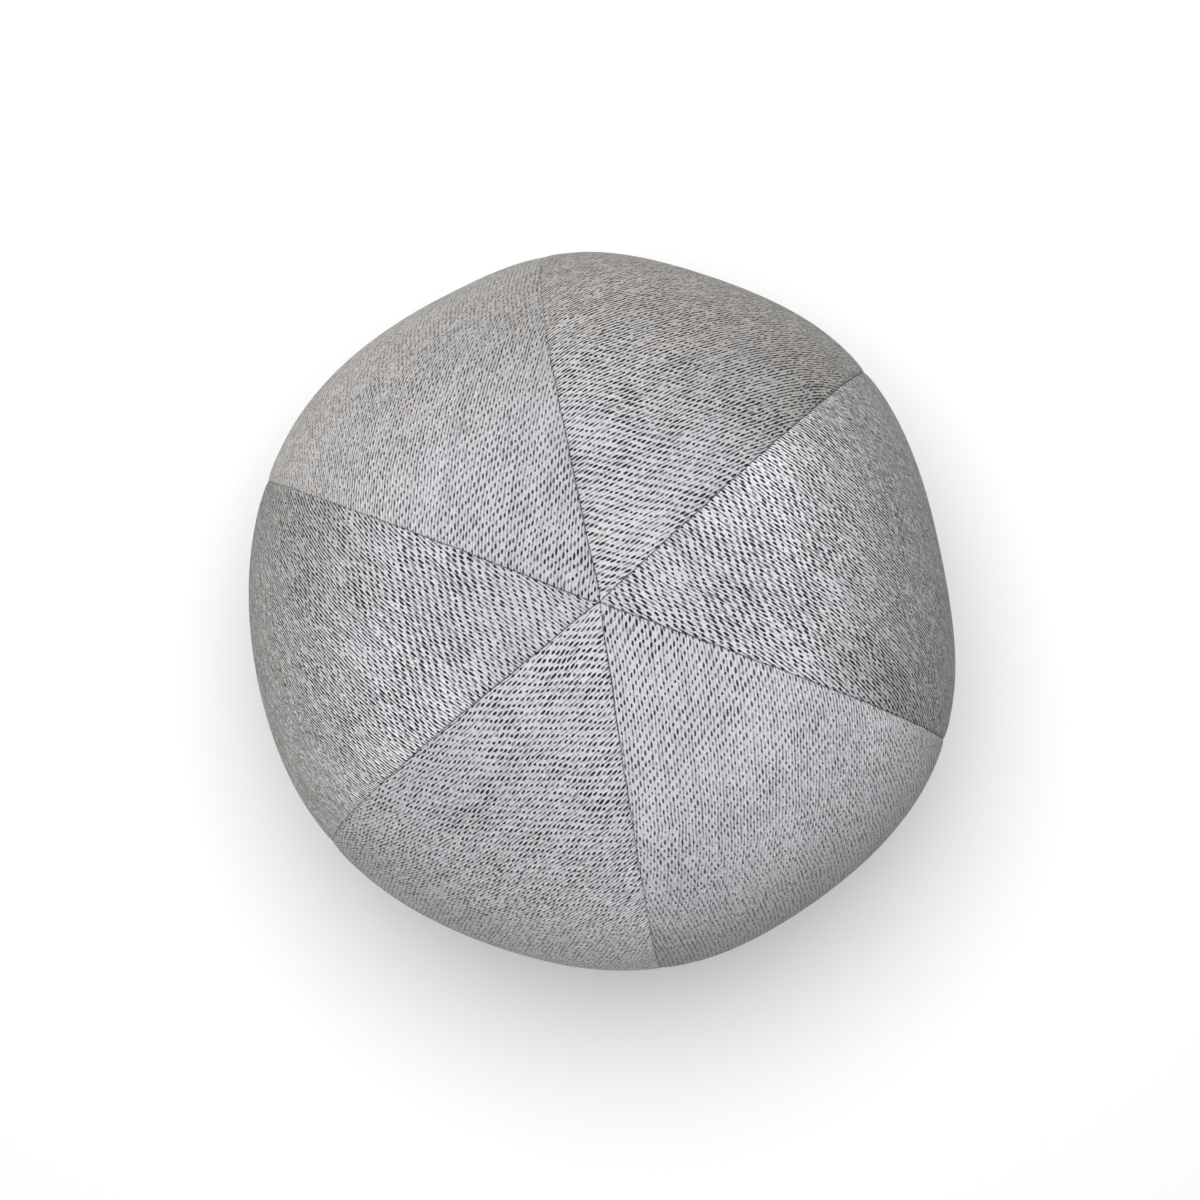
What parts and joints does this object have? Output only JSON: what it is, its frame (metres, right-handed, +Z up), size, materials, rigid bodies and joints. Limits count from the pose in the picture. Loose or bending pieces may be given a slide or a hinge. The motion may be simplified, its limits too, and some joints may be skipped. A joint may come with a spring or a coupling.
{
  "type": "ball pillow",
  "caption": "Filled round cushion sewn from six pointed gores of woven cloth, resting on a small flat spot.",
  "frame": {"origin": "on the floor, under the middle of the bounding box", "axes": "+Z up through the pole where the seams meet, the shortest way through the ball; +Y the widest way across it"},
  "size_m": [0.298, 0.3034, 0.2836],
  "materials": {
    "woven_cloth": "matte woven cloth, pale grey yarns with short near-black floats in diagonal rows"
  },
  "bodies": {
    "root": {"gore_1": "woven_cloth", "gore_2": "woven_cloth", "gore_3": "woven_cloth", "gore_4": "woven_cloth", "gore_5": "woven_cloth", "gore_6": "woven_cloth"}
  },
  "joints": []
}
